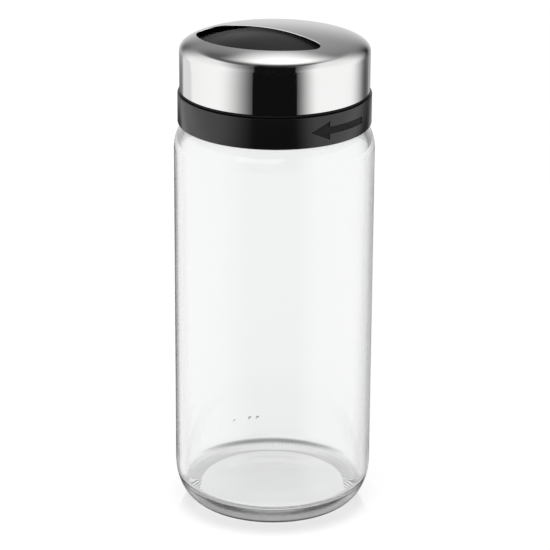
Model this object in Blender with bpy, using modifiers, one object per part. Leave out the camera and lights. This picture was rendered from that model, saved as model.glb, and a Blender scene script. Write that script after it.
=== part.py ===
"""A glass spice jar whose polished steel cap turns to open and close a sprinkling dome.

Metres, +Z up, origin under the middle of the foot. The cap turns on the collar about +Z, and the
whole head unscrews from the glass about the same axis. Every piece is turned about that axis.
"""

import math

import bmesh
import bpy

SIDES = 48  # facets round a turned piece
CUT_SIDES = 10  # facets round a sprinkling hole

# Fits
GAP = 0.0003  # clearance between neighbouring pieces
OVERRUN = 0.002  # how far a cutter runs past what it cuts
WELD = 0.00001  # points nearer than this are one point

# Glass jar
BODY_RADIUS = 0.0330
BODY_HEIGHT = 0.1239  # the wall starts to turn in here
GLASS_WALL = 0.0028
FLOOR_THICKNESS = 0.0060
FOOT_RADIUS = 0.0246  # outer edge of the ring that it stands on
FOOT_WIDTH = 0.0024
HEEL_HEIGHT = 0.0134
PUNT_DEPTH = 0.0012  # hollow under the foot
INNER_HEEL = 0.0034
SHOULDER_RISE = 0.0111
NECK_RADIUS = 0.0250
NECK_WALL = 0.0028
NECK_HEIGHT = 0.0135
NECK_FILLET = 0.0012
RIM_ROUND = 0.0008

# Quick thread between the glass and the collar
THREAD_STARTS = 4
THREAD_PITCH = 0.0042
THREAD_DEPTH = 0.0012
THREAD_BASE = 0.0019
THREAD_TIP = 0.0009
THREAD_SWEEP_DEG = 100.0
THREAD_DROP = 0.0065  # from the rim down to the middle of the ridges
THREAD_GAP = 0.00035
THREAD_ROOT = 0.0006  # how deep a ridge is rooted in its wall
THREAD_STEPS = 14
FADE_SHARE = 0.14  # share of a ridge that rises out of the wall at each end

# Rim seal
SEAL_THICKNESS = 0.0012
SEAL_CHAMFER = 0.0002

# Threaded collar
SLEEVE_WALL = 0.00215
SLEEVE_DEPTH = 0.0120  # from the rim down to the end of the sleeve
FLANGE_THICKNESS = 0.0012
UPSTAND_HEIGHT = 0.0014
UPSTAND_WALL = 0.0013
SNAP_DEPTH = 0.0005  # height of the bead that holds the dome
SNAP_RISE = 0.00075  # from the flange up to the bead
SNAP_SLOPE = 0.00035
SNAP_LIP = 0.00015
SKIRT_WALL = 0.0016
SKIRT_HEIGHT = 0.0102
SKIRT_GAP = 0.00063  # above the glass shoulder
SKIRT_STEP = 0.00067  # how far the collar stands proud of the steel
WEB_THICKNESS = 0.0015
EDGE_ROUND = 0.0004
GROOVE_RISE = 0.0018  # from the web up to the cap's retaining groove
GROOVE_WIDTH = 0.0016
GROOVE_DEPTH = 0.0008
SLOT_DEPTH = 0.0009  # arc that the cap's stop lug runs in

# Direction arrow on the collar
ARROW_TIP_DEG = -68.1
ARROW_LENGTH = 0.0225
ARROW_HEAD_LENGTH = 0.0066
ARROW_HEAD_WIDTH = 0.0062
ARROW_SHAFT_WIDTH = 0.0024
ARROW_DEPTH = 0.0003
ARROW_TIP_SHARE = 0.04  # the tip's width, as a share of the head's
ARROW_BARB_SHARE = 0.9  # share of the head after which the shaft starts

# Sprinkling dome
DOME_HEIGHT = 0.0102
DOME_WALL = 0.0014
DOME_CROWN_RADIUS = 0.0783
DOME_FOOT_WALL = 0.0012
DOME_SHOULDER = 0.0027  # width of the rounding at the crown's edge
RING_RADIUS = 0.0007  # the O-ring's cord radius
RING_SHELF = 0.0008  # wall left under the O-ring's groove
RING_LIP = 0.0007  # wall left above it
HOLE_RADIUS = 0.0016
HOLE_PITCH = 0.0044
ROW_PITCH = 0.0042
FIRST_ROW = 0.0086  # from the axis
ROW_HOLES = (7, 6, 5)

# Cap
CARRIER_WALL = 0.0012
CARRIER_LIP = 0.0005  # thickness of the flange under the steel's edge
CARRIER_LIP_INSET = 0.0001
CARRIER_CHAMFER = 0.0003
CARRIER_DROP = 0.0010  # from the steel's curve down to the carrier's top
BEAD_DEPTH = 0.00075
BEAD_SLOPE = 0.0002
LUG_WIDTH = 0.0040
LUG_HEIGHT = 0.0022
LUG_ANGLE_DEG = 60.0
CAP_TURN_DEG = 180.0
STEEL_WALL = 0.0006
CROWN_RADIUS = 0.0230  # where the crown meets the rounded edge
CROWN_RISE = 0.0020
EDGE_DROP = 0.0036  # height of the rounded edge

# Leaf-shaped opening in the cap
LEAF_DIRECTION_DEG = 50.0
LEAF_FRONT_X = 0.0009
LEAF_FRONT_Y = 0.0092
LEAF_FRONT_RADIUS = 0.0268
LEAF_BACK_RADIUS = 0.0909
LEAF_BACK_REACH = 0.0037  # from the axis to the back edge
LEAF_LEFT_TIP = 0.0080
LEAF_RIGHT_TIP = 0.0045
LEAF_STEPS = 20

# Places worked out from the sizes above
MOUTH_RADIUS = NECK_RADIUS - NECK_WALL
RIM_HEIGHT = BODY_HEIGHT + SHOULDER_RISE + NECK_HEIGHT
THREAD_LEAD = THREAD_STARTS * THREAD_PITCH
SLEEVE_RADIUS = NECK_RADIUS + THREAD_DEPTH + THREAD_GAP
SPIGOT_RADIUS = SLEEVE_RADIUS + SLEEVE_WALL
CARRIER_RADIUS = SPIGOT_RADIUS + GAP
SHELL_BORE = CARRIER_RADIUS + CARRIER_WALL + GAP
SHELL_RADIUS = SHELL_BORE + STEEL_WALL
COLLAR_RADIUS = SHELL_RADIUS + SKIRT_STEP
SKIRT_BORE = COLLAR_RADIUS - SKIRT_WALL
SEAL_BOTTOM = RIM_HEIGHT + GAP
FLANGE_BOTTOM = SEAL_BOTTOM + SEAL_THICKNESS + GAP
FLANGE_TOP = FLANGE_BOTTOM + FLANGE_THICKNESS
SNAP_RADIUS = SPIGOT_RADIUS - DOME_FOOT_WALL - GAP
UPSTAND_RADIUS = SNAP_RADIUS - SNAP_DEPTH
DOME_FOOT = FLANGE_TOP + GAP
DOME_TOP = DOME_FOOT + DOME_HEIGHT
DOME_SHELF = FLANGE_TOP + UPSTAND_HEIGHT + GAP
RING_GROOVE = DOME_SHELF + RING_SHELF
RING_GROOVE_WIDTH = 2 * (RING_RADIUS + GAP)
DOME_LAND = RING_GROOVE + RING_GROOVE_WIDTH + RING_LIP
SHELL_TOP = DOME_TOP + GAP + STEEL_WALL
WALL_TOP = SHELL_TOP - CROWN_RISE - EDGE_DROP
LUG_BOTTOM = FLANGE_TOP - GAP - LUG_HEIGHT
SLOT_FLOOR = SPIGOT_RADIUS - SLOT_DEPTH


def arc(centre, radii, start_deg, end_deg, count):
    """Points of an ellipse's arc in the (radius, height) plane, both ends included."""
    angles = [math.radians(start_deg + (end_deg - start_deg) * i / (count - 1)) for i in range(count)]
    return [(centre[0] + radii[0] * math.cos(a), centre[1] + radii[1] * math.sin(a)) for a in angles]


def blend_curve(start, end, end_slope, count):
    """A rounded corner from a level-or-sloping line at start to an upright one at end."""
    pull = 0.5523
    width, height = end[0] - start[0], start[1] - end[1]
    length = math.hypot(1, end_slope)
    first = (start[0] + pull * width / length, start[1] - pull * width * end_slope / length)
    second = (end[0], end[1] + pull * height)
    points = []
    for i in range(count):
        t = i / (count - 1)
        weights = ((1 - t) ** 3, 3 * t * (1 - t) ** 2, 3 * t * t * (1 - t), t**3)
        corners = zip(weights, (start, first, second, end))
        points.append(tuple(map(sum, zip(*((w * p[0], w * p[1]) for w, p in corners)))))
    return points


def shoulder_height(radius, neck, start, rise):
    """Height of the glass shoulder's curve at a radius."""
    across = min(max((radius - neck) / (BODY_RADIUS - NECK_RADIUS), 0), 1)
    return start + rise * math.sqrt(1 - across**2)


def shoulder(neck, start, rise, count):
    """The shoulder from the neck's wall down to the body's wall, with a fillet at the neck."""
    foot = shoulder_height(neck + NECK_FILLET, neck, start, rise)
    fillet = arc((neck + NECK_FILLET, foot + NECK_FILLET), (NECK_FILLET, NECK_FILLET), 180, 270, 3)
    spread = BODY_RADIUS - NECK_RADIUS
    steep = math.degrees(math.acos(NECK_FILLET / spread))
    return fillet[:-1] + arc((neck, start), (spread, rise), steep, 0, count)


# Objects and their tools


def new_object(name, mesh, collection):
    """An object that holds a mesh, in a collection."""
    obj = bpy.data.objects.new(name, mesh)
    collection.objects.link(obj)
    return obj


def turned(name, outline, collection):
    """A turned solid: its outline runs down the outer side, and closes where it doesn't end on the axis."""
    edges = [(i, i + 1) for i in range(len(outline) - 1)]
    if outline[0][0] > 0:
        edges.append((len(outline) - 1, 0))
    mesh = bpy.data.meshes.new(name)
    mesh.from_pydata([(radius, 0, height) for radius, height in outline], edges, [])
    obj = new_object(name, mesh, collection)
    screw = obj.modifiers.new("turn", "SCREW")
    screw.steps = screw.render_steps = SIDES
    screw.use_merge_vertices = True
    screw.merge_threshold = WELD
    return obj


def swept(name, outlines, sweep_deg, steps, climb, collection):
    """Closed solids, each an outline spun about the axis from its own angle, while it climbs."""
    bm = bmesh.new()
    for start_deg, outline in outlines:
        start = math.radians(start_deg)
        verts = [bm.verts.new((r * math.cos(start), r * math.sin(start), z)) for r, z in outline]
        face = bm.faces.new(verts)
        bmesh.ops.spin(
            bm,
            geom=[face, *face.edges, *verts],
            cent=(0, 0, 0),
            axis=(0, 0, 1),
            dvec=(0, 0, climb / steps),
            angle=math.radians(sweep_deg),
            steps=steps,
        )
    bmesh.ops.recalc_face_normals(bm, faces=bm.faces)
    mesh = bpy.data.meshes.new(name)
    bm.to_mesh(mesh)
    bm.free()
    return new_object(name, mesh, collection)


def box_outline(inner, outer, bottom, top):
    """A rectangle in the (radius, height) plane."""
    return [(inner, bottom), (outer, bottom), (outer, top), (inner, top)]


def boolean(target, tool, operation):
    """Cuts a tool out of the target, or joins it on."""
    modifier = target.modifiers.new(tool.name, "BOOLEAN")
    modifier.operation = operation
    modifier.solver = "EXACT"
    modifier.object = tool
    tool.hide_render = True
    tool.display_type = "WIRE"


def settle(obj, material):
    """Turns a piece's modifiers into its mesh, shades its round faces smooth and gives it its material."""
    bpy.context.view_layer.update()
    graph = bpy.context.evaluated_depsgraph_get()
    mesh = bpy.data.meshes.new_from_object(obj.evaluated_get(graph))
    obj.modifiers.clear()
    obj.data = mesh
    mesh.name = obj.name
    mesh.materials.clear()
    mesh.materials.append(material)
    mesh.shade_smooth()
    mesh.set_sharp_from_angle(angle=math.radians(30))


def make_material(name, colour, roughness, metallic=0.0, transmission=0.0):
    """A Principled material in one plain finish."""
    material = bpy.data.materials.new(name)
    material.use_nodes = True
    shader = material.node_tree.nodes["Principled BSDF"]
    shader.inputs["Base Color"].default_value = (*colour, 1)
    shader.inputs["Roughness"].default_value = roughness
    shader.inputs["Metallic"].default_value = metallic
    shader.inputs["Transmission Weight"].default_value = transmission
    material.diffuse_color = (*colour, 1 - 0.7 * transmission)
    return material


# Glass jar and its thread


def thread_drop():
    """How far below a glass ridge the collar's ridge lies when their flanks just clear."""
    flank = (THREAD_BASE - THREAD_TIP) / 2 / THREAD_DEPTH
    return THREAD_BASE - (THREAD_DEPTH + THREAD_GAP) * flank + THREAD_GAP


def thread_ridges(name, root, direction, middle, collection):
    """The ridges of one thread, growing out of (direction 1) or into (-1) the wall at root."""
    buried = root - direction * THREAD_ROOT
    crest = root + direction * THREAD_DEPTH
    rise = THREAD_LEAD * THREAD_SWEEP_DEG / 360
    base, tip = THREAD_BASE / 2, THREAD_TIP / 2
    low = middle - rise / 2
    outline = [(buried, low - base), (root, low - base), (crest, low - tip), (crest, low + tip)]
    outline += [(root, low + base), (buried, low + base)]
    starts = [360 * i / THREAD_STARTS for i in range(THREAD_STARTS)]
    ridges = swept(name, [(s, outline) for s in starts], THREAD_SWEEP_DEG, THREAD_STEPS, rise, collection)
    least = THREAD_ROOT / 2 / (THREAD_ROOT + THREAD_DEPTH)
    per_ridge = len(ridges.data.vertices) // THREAD_STARTS
    for index, vert in enumerate(ridges.data.vertices):
        start = math.radians(starts[index // per_ridge])
        turn = (math.atan2(vert.co.y, vert.co.x) - start + math.pi) % (2 * math.pi) - math.pi
        along = turn / math.radians(THREAD_SWEEP_DEG)
        fade = max(least, min(1, along / FADE_SHARE, (1 - along) / FADE_SHARE))
        radius = math.hypot(vert.co.x, vert.co.y)
        scale = (buried + (radius - buried) * fade) / radius
        vert.co.x *= scale
        vert.co.y *= scale
    return ridges


def glass_jar(pieces, tools):
    """The jar: a hollow body on a foot ring, a rounded shoulder and a threaded neck."""
    inner_radius = BODY_RADIUS - GLASS_WALL
    floor = PUNT_DEPTH + FLOOR_THICKNESS
    inside = [(0, floor)]
    inside += arc((inner_radius - INNER_HEEL, floor + INNER_HEEL), (INNER_HEEL, INNER_HEEL), -90, 0, 5)
    inside += shoulder(MOUTH_RADIUS, BODY_HEIGHT, SHOULDER_RISE - GLASS_WALL, 5)[::-1]
    rim_radii = (RIM_ROUND, RIM_ROUND)
    rim_centre = RIM_HEIGHT - RIM_ROUND
    rim = arc((MOUTH_RADIUS + RIM_ROUND, rim_centre), rim_radii, 180, 90, 3)
    rim += arc((NECK_RADIUS - RIM_ROUND, rim_centre), rim_radii, 90, 0, 3)
    outside = shoulder(NECK_RADIUS, BODY_HEIGHT, SHOULDER_RISE, 8)
    outside += arc((FOOT_RADIUS, HEEL_HEIGHT), (BODY_RADIUS - FOOT_RADIUS, HEEL_HEIGHT), 0, -90, 8)
    punt = FOOT_RADIUS - FOOT_WIDTH
    under = arc((0, 0), (punt, PUNT_DEPTH), 0, 90, 4)
    jar = turned("glass_jar", inside + rim + outside + under, pieces)
    ridges = thread_ridges("glass_thread", NECK_RADIUS, 1, RIM_HEIGHT - THREAD_DROP, tools)
    boolean(jar, ridges, "UNION")
    settle(jar, make_material("clear_glass", (0.93, 0.95, 0.94), 0.02, transmission=1.0))


# Head that screws onto the glass


def rim_seal(pieces):
    """The soft ring that the collar presses onto the glass rim."""
    inner, outer = MOUTH_RADIUS + GAP, SLEEVE_RADIUS - GAP
    top = SEAL_BOTTOM + SEAL_THICKNESS
    cut = SEAL_CHAMFER
    outline = [(inner + cut, top), (outer - cut, top), (outer, top - cut), (outer, SEAL_BOTTOM + cut)]
    outline += [(outer - cut, SEAL_BOTTOM), (inner + cut, SEAL_BOTTOM)]
    outline += [(inner, SEAL_BOTTOM + cut), (inner, top - cut)]
    settle(turned("rim_seal", outline, pieces), make_material("seal_rubber", (0.55, 0.55, 0.54), 0.7))


def skirt_bottom():
    """Height of the collar's lower edge, just above the glass shoulder."""
    return shoulder_height(SKIRT_BORE, NECK_RADIUS, BODY_HEIGHT, SHOULDER_RISE) + SKIRT_GAP


def web_top():
    """Height of the collar's visible upper face, which the cap turns on."""
    return skirt_bottom() + SKIRT_HEIGHT


def lug_half_angle():
    """Half the angle that the cap's stop lug takes up, in degrees."""
    return math.degrees(LUG_WIDTH / 2 / SPIGOT_RADIUS)


def arrow_cutters(tools):
    """A shaft and a tapering head, both following the collar's curve."""
    middle = (skirt_bottom() + web_top()) / 2
    per_length = math.degrees(1 / COLLAR_RADIUS)
    floor, outer = COLLAR_RADIUS - ARROW_DEPTH, COLLAR_RADIUS + OVERRUN
    shaft_half, head_half = ARROW_SHAFT_WIDTH / 2, ARROW_HEAD_WIDTH / 2
    head_sweep = ARROW_HEAD_LENGTH * per_length
    head_part = head_sweep * ARROW_BARB_SHARE
    shaft_start = ARROW_TIP_DEG + head_part
    shaft_sweep = ARROW_LENGTH * per_length - head_part
    shaft = box_outline(floor, outer, middle - shaft_half, middle + shaft_half)
    head = box_outline(floor, outer, middle - head_half, middle + head_half)
    shaft_cutter = swept("arrow_shaft_cutter", [(shaft_start, shaft)], shaft_sweep, 12, 0, tools)
    head_cutter = swept("arrow_head_cutter", [(ARROW_TIP_DEG, head)], head_sweep, 5, 0, tools)
    for vert in head_cutter.data.vertices:
        along = (math.degrees(math.atan2(vert.co.y, vert.co.x)) - ARROW_TIP_DEG) / head_sweep
        width = ARROW_TIP_SHARE + (1 - ARROW_TIP_SHARE) * along
        vert.co.z = middle + (vert.co.z - middle) * width
    return shaft_cutter, head_cutter


def threaded_collar(pieces, tools):
    """The black collar: skirt with the arrow, threaded sleeve, flange over the rim and the cap's spigot."""
    bottom, top = skirt_bottom(), web_top()
    groove = top + GROOVE_RISE
    groove_floor = SPIGOT_RADIUS - GROOVE_DEPTH
    outline = [(MOUTH_RADIUS, FLANGE_TOP), (UPSTAND_RADIUS - UPSTAND_WALL, FLANGE_TOP)]
    outline += [(UPSTAND_RADIUS - UPSTAND_WALL, FLANGE_TOP + UPSTAND_HEIGHT)]
    outline += [(UPSTAND_RADIUS, FLANGE_TOP + UPSTAND_HEIGHT)]
    outline += [(SNAP_RADIUS, FLANGE_TOP + SNAP_RISE + SNAP_SLOPE)]
    outline += [(UPSTAND_RADIUS, FLANGE_TOP + SNAP_RISE), (UPSTAND_RADIUS, FLANGE_TOP)]
    outline += [(SPIGOT_RADIUS, FLANGE_TOP)]
    outline += [(SPIGOT_RADIUS, groove + GROOVE_WIDTH), (groove_floor, groove + GROOVE_WIDTH)]
    outline += [(groove_floor, groove), (SPIGOT_RADIUS, groove), (SPIGOT_RADIUS, top)]
    outline += arc((COLLAR_RADIUS - EDGE_ROUND, top - EDGE_ROUND), (EDGE_ROUND, EDGE_ROUND), 90, 0, 4)
    outline += arc((COLLAR_RADIUS - EDGE_ROUND, bottom + EDGE_ROUND), (EDGE_ROUND, EDGE_ROUND), 0, -90, 3)
    outline += [(SKIRT_BORE, bottom), (SKIRT_BORE, top - WEB_THICKNESS)]
    outline += [(SPIGOT_RADIUS, top - WEB_THICKNESS), (SPIGOT_RADIUS, RIM_HEIGHT - SLEEVE_DEPTH)]
    outline += [(SLEEVE_RADIUS, RIM_HEIGHT - SLEEVE_DEPTH), (SLEEVE_RADIUS, FLANGE_BOTTOM)]
    outline += [(MOUTH_RADIUS, FLANGE_BOTTOM)]
    collar = turned("threaded_collar", outline, pieces)
    middle = RIM_HEIGHT - THREAD_DROP - thread_drop()
    boolean(collar, thread_ridges("collar_thread", SLEEVE_RADIUS, -1, middle, tools), "UNION")
    for cutter in arrow_cutters(tools):
        boolean(collar, cutter, "DIFFERENCE")
    spare = lug_half_angle() + math.degrees(GAP / SPIGOT_RADIUS)
    slot = box_outline(SLOT_FLOOR, SPIGOT_RADIUS + OVERRUN, LUG_BOTTOM - GAP, FLANGE_TOP + OVERRUN)
    start = LUG_ANGLE_DEG - CAP_TURN_DEG - spare
    stop_slot = swept("stop_slot_cutter", [(start, slot)], CAP_TURN_DEG + 2 * spare, 31, 0, tools)
    boolean(collar, stop_slot, "DIFFERENCE")
    settle(collar, make_material("collar_plastic", (0.028, 0.028, 0.030), 0.28))


def crown_height(radius, top, crown_radius):
    """Height of a ball's surface at a radius, for a ball that reaches the given top."""
    return top - crown_radius + math.sqrt(crown_radius**2 - radius**2)


def crown_points(edge, top, crown_radius, steps):
    """Points along a ball's surface from the axis out to the edge."""
    return [(edge * i / steps, crown_height(edge * i / steps, top, crown_radius)) for i in range(steps + 1)]


def dome_holes(tools):
    """Upright cutters for the rows of sprinkling holes, on the side away from the closed opening."""
    facing = math.radians(LEAF_DIRECTION_DEG)
    outward = (math.cos(facing), math.sin(facing))
    along = (outward[1], -outward[0])
    middle = -(LEAF_FRONT_X * along[0] + LEAF_FRONT_Y * along[1])
    bm = bmesh.new()
    for row, count in enumerate(ROW_HOLES):
        for index in range(count):
            side = middle + (index - (count - 1) / 2) * HOLE_PITCH
            out = FIRST_ROW + row * ROW_PITCH
            made = bmesh.ops.create_cone(
                bm,
                cap_ends=True,
                segments=CUT_SIDES,
                radius1=HOLE_RADIUS,
                radius2=HOLE_RADIUS,
                depth=DOME_HEIGHT,
            )
            place = (side * along[0] + out * outward[0], side * along[1] + out * outward[1], DOME_TOP)
            bmesh.ops.translate(bm, verts=made["verts"], vec=place)
    mesh = bpy.data.meshes.new("hole_cutters")
    bm.to_mesh(mesh)
    bm.free()
    return new_object("hole_cutters", mesh, tools)


def shaker_dome(pieces, tools):
    """The dome: one half plain, the other with rows of holes, and a groove for the O-ring."""
    inner = UPSTAND_RADIUS - UPSTAND_WALL
    edge = SPIGOT_RADIUS - DOME_SHOULDER
    steps = 5
    crown = crown_points(edge, DOME_TOP, DOME_CROWN_RADIUS, steps)[:-1]
    slope = edge / math.sqrt(DOME_CROWN_RADIUS**2 - edge**2)
    edge_height = crown_height(edge, DOME_TOP, DOME_CROWN_RADIUS)
    outline = crown + blend_curve((edge, edge_height), (SPIGOT_RADIUS, DOME_LAND), slope, 5)
    groove_floor = SPIGOT_RADIUS - 2 * RING_RADIUS - GAP
    groove_top = RING_GROOVE + RING_GROOVE_WIDTH
    outline += [(SPIGOT_RADIUS, groove_top), (groove_floor, groove_top)]
    outline += [(groove_floor, RING_GROOVE), (SPIGOT_RADIUS, RING_GROOVE), (SPIGOT_RADIUS, DOME_FOOT)]
    outline += [(UPSTAND_RADIUS + GAP, DOME_FOOT), (UPSTAND_RADIUS + GAP, DOME_FOOT + SNAP_LIP)]
    outline += [(SNAP_RADIUS + GAP, DOME_FOOT + SNAP_LIP + SNAP_SLOPE), (SNAP_RADIUS + GAP, DOME_SHELF)]
    outline += [(inner, DOME_SHELF)]
    under_top, under_crown = DOME_TOP - DOME_WALL, DOME_CROWN_RADIUS - DOME_WALL
    outline += crown_points(inner, under_top, under_crown, 3)[::-1]
    dome = turned("shaker_dome", outline, pieces)
    boolean(dome, dome_holes(tools), "DIFFERENCE")
    settle(dome, make_material("dome_plastic", (0.045, 0.045, 0.047), 0.38))


def turn_ring(pieces):
    """The O-ring that keeps the aroma in and makes the cap turn smoothly."""
    middle = (SPIGOT_RADIUS - RING_RADIUS, RING_GROOVE + RING_GROOVE_WIDTH / 2)
    section = arc(middle, (RING_RADIUS, RING_RADIUS), 90, -210, 6)
    settle(turned("turn_ring", section, pieces), make_material("ring_rubber", (0.03, 0.03, 0.03), 0.6))


# Cap that turns


def cap_carrier(pieces, tools):
    """The black ring inside the steel: it snaps into the collar's groove and carries the stop lug."""
    outer = SHELL_BORE - GAP
    lip = SHELL_RADIUS - CARRIER_LIP_INSET
    bottom = web_top() + GAP
    top = WALL_TOP - CARRIER_DROP
    bead_low = web_top() + GROOVE_RISE + GAP
    bead_high = bead_low + GROOVE_WIDTH - 2 * GAP
    tip = CARRIER_RADIUS - BEAD_DEPTH
    outline = [(CARRIER_RADIUS, top), (outer - CARRIER_CHAMFER, top), (outer, top - CARRIER_CHAMFER)]
    outline += [(outer, bottom + CARRIER_LIP)]
    outline += [(lip, bottom + CARRIER_LIP), (lip, bottom), (CARRIER_RADIUS, bottom)]
    outline += [(CARRIER_RADIUS, bead_low), (tip, bead_low + BEAD_SLOPE)]
    outline += [(tip, bead_high - BEAD_SLOPE), (CARRIER_RADIUS, bead_high)]
    carrier = turned("cap_carrier", outline, pieces)
    half = lug_half_angle()
    buried = CARRIER_RADIUS + CARRIER_WALL / 2
    block = box_outline(SLOT_FLOOR + GAP, buried, LUG_BOTTOM, LUG_BOTTOM + LUG_HEIGHT)
    lug = swept("stop_lug", [(LUG_ANGLE_DEG - half, block)], 2 * half, 3, 0, tools)
    boolean(carrier, lug, "UNION")
    settle(carrier, make_material("carrier_plastic", (0.022, 0.022, 0.024), 0.4))


def leaf_outline():
    """The opening seen from above: a wide front arc and a flatter back arc, with rounded tips."""
    facing = math.radians(LEAF_DIRECTION_DEG)
    back_distance = LEAF_BACK_RADIUS - LEAF_BACK_REACH
    front = (LEAF_FRONT_X, LEAF_FRONT_Y)
    back = (-back_distance * math.cos(facing), -back_distance * math.sin(facing))
    across = (front[0] - back[0], front[1] - back[1])
    apart = math.hypot(*across)
    unit = (across[0] / apart, across[1] / apart)
    tips = []
    for round_radius, side in ((LEAF_LEFT_TIP, 1), (LEAF_RIGHT_TIP, -1)):
        from_front = LEAF_FRONT_RADIUS - round_radius
        from_back = LEAF_BACK_RADIUS - round_radius
        along = (from_back**2 - from_front**2 + apart**2) / (2 * apart)
        off = side * math.sqrt(from_back**2 - along**2)
        tips.append((back[0] + along * unit[0] - off * unit[1], back[1] + along * unit[1] + off * unit[0]))

    def angle(centre, point):
        return math.atan2(point[1] - centre[1], point[0] - centre[0])

    def flat_arc(centre, radius, start, end, count):
        while end < start:
            end += 2 * math.pi
        turns = [start + (end - start) * i / count for i in range(count)]
        return [(centre[0] + radius * math.cos(t), centre[1] + radius * math.sin(t)) for t in turns]

    left, right = tips
    tip_steps = LEAF_STEPS // 4
    points = flat_arc(front, LEAF_FRONT_RADIUS, angle(front, left), angle(front, right), LEAF_STEPS)
    points += flat_arc(right, LEAF_RIGHT_TIP, angle(front, right), angle(back, right), tip_steps)
    points += flat_arc(back, LEAF_BACK_RADIUS, angle(back, right), angle(back, left), LEAF_STEPS // 2)
    points += flat_arc(left, LEAF_LEFT_TIP, angle(back, left), angle(front, left), tip_steps)
    return points


def leaf_cutter(tools):
    """An upright prism of the opening's outline, through the steel."""
    bm = bmesh.new()
    base = WALL_TOP - OVERRUN
    face = bm.faces.new([bm.verts.new((x, y, base)) for x, y in leaf_outline()])
    raised = bmesh.ops.extrude_face_region(bm, geom=[face], use_keep_orig=True)
    moved = [item for item in raised["geom"] if isinstance(item, bmesh.types.BMVert)]
    bmesh.ops.translate(bm, verts=moved, vec=(0, 0, SHELL_TOP + OVERRUN - base))
    bmesh.ops.recalc_face_normals(bm, faces=bm.faces)
    mesh = bpy.data.meshes.new("leaf_cutter")
    bm.to_mesh(mesh)
    bm.free()
    return new_object("leaf_cutter", mesh, tools)


def shell_side(wall, top, steps):
    """One side of the steel sheet: the crown from the axis, then the rounded edge down to the wall."""
    points = []
    for i in range(steps):
        share = i / steps
        points.append((CROWN_RADIUS * share, top - CROWN_RISE * share**2))
    slope = 2 * CROWN_RISE / CROWN_RADIUS
    return points + blend_curve((CROWN_RADIUS, top - CROWN_RISE), (wall, WALL_TOP), slope, steps + 1)


def cap_shell(pieces, tools):
    """The drawn steel cap with its leaf-shaped opening."""
    bottom = web_top() + GAP + CARRIER_LIP + GAP
    outer = shell_side(SHELL_RADIUS, SHELL_TOP, 6)
    inner = shell_side(SHELL_BORE, SHELL_TOP - STEEL_WALL, 4)
    outline = outer + [(SHELL_RADIUS, bottom), (SHELL_BORE, bottom)] + inner[::-1]
    shell = turned("cap_shell", outline, pieces)
    boolean(shell, leaf_cutter(tools), "DIFFERENCE")
    settle(shell, make_material("polished_steel", (0.80, 0.80, 0.80), 0.08, metallic=1.0))


def main():
    """Clears the scene and builds the jar."""
    for obj in list(bpy.data.objects):
        bpy.data.objects.remove(obj, do_unlink=True)
    pieces = bpy.data.collections.new("spice_jar")
    tools = bpy.data.collections.new("cutters")
    for collection in (pieces, tools):
        bpy.context.scene.collection.children.link(collection)
    glass_jar(pieces, tools)
    rim_seal(pieces)
    threaded_collar(pieces, tools)
    shaker_dome(pieces, tools)
    turn_ring(pieces)
    cap_carrier(pieces, tools)
    cap_shell(pieces, tools)


main()
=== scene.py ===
"""A glass spice jar with a black screwed collar and a polished steel cap, on a pale studio floor.

Metres, +Z up. Every piece is turned about the jar's axis, and stands for one node of the frame.
"""

import logging
import math
from collections.abc import Sequence
from dataclasses import dataclass, field
from enum import Enum

import bmesh
import bpy
from bmesh.types import BMesh, BMVert
from bpy.types import ID, Material, Mesh, Node, NodeSocket, NodeTree, Object
from mathutils import Matrix, Vector
from mathutils.geometry import interpolate_bezier


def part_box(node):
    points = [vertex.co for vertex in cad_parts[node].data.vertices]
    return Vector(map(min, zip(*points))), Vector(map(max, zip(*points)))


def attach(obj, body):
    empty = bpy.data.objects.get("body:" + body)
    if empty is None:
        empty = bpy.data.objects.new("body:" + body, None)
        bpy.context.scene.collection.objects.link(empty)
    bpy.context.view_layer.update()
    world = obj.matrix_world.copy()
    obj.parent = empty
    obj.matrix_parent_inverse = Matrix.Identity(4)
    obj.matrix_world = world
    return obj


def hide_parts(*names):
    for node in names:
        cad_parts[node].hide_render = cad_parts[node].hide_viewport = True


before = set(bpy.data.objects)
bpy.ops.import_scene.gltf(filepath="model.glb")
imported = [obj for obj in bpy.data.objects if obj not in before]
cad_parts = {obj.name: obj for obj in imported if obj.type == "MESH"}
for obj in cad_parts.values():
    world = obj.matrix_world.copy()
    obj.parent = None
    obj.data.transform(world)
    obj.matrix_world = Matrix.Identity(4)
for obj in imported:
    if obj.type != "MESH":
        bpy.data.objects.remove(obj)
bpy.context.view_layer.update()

LOG = logging.getLogger("spice_jar")

Point = tuple[float, float]
Triple = tuple[float, float, float]
Colour = Triple
Number = "Value | float"

WELD = 0.000002  # points nearer than this are one point
SHARP_DEG = 34.0  # edges that turn more than this are shaded sharp
GAP = 0.0003  # clearance between neighbouring pieces
ROUND_STEPS = 4  # facets round a small edge
ORIGIN, UP = (0, 0, 0), (0, 0, 1)
OVERRUN = 0.002  # how far a cutter runs past what it cuts
PULL = 0.5523  # how far along a quarter turn's radius its Bezier curve bends


class Body(Enum):
    """The bodies of the frame that pieces ride on."""

    JAR = "jar"
    SEAL = "seal"
    COLLAR = "collar"
    CAP = "cap"


class Slot(Enum):
    """The record's material slots."""

    GLASS = "glass"
    STEEL = "steel"
    COLLAR = "collar_black"
    DOME = "dome_black"
    CARRIER = "carrier_black"
    SEAL = "seal_rubber"
    RING = "ring_rubber"


# Shader tools


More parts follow.
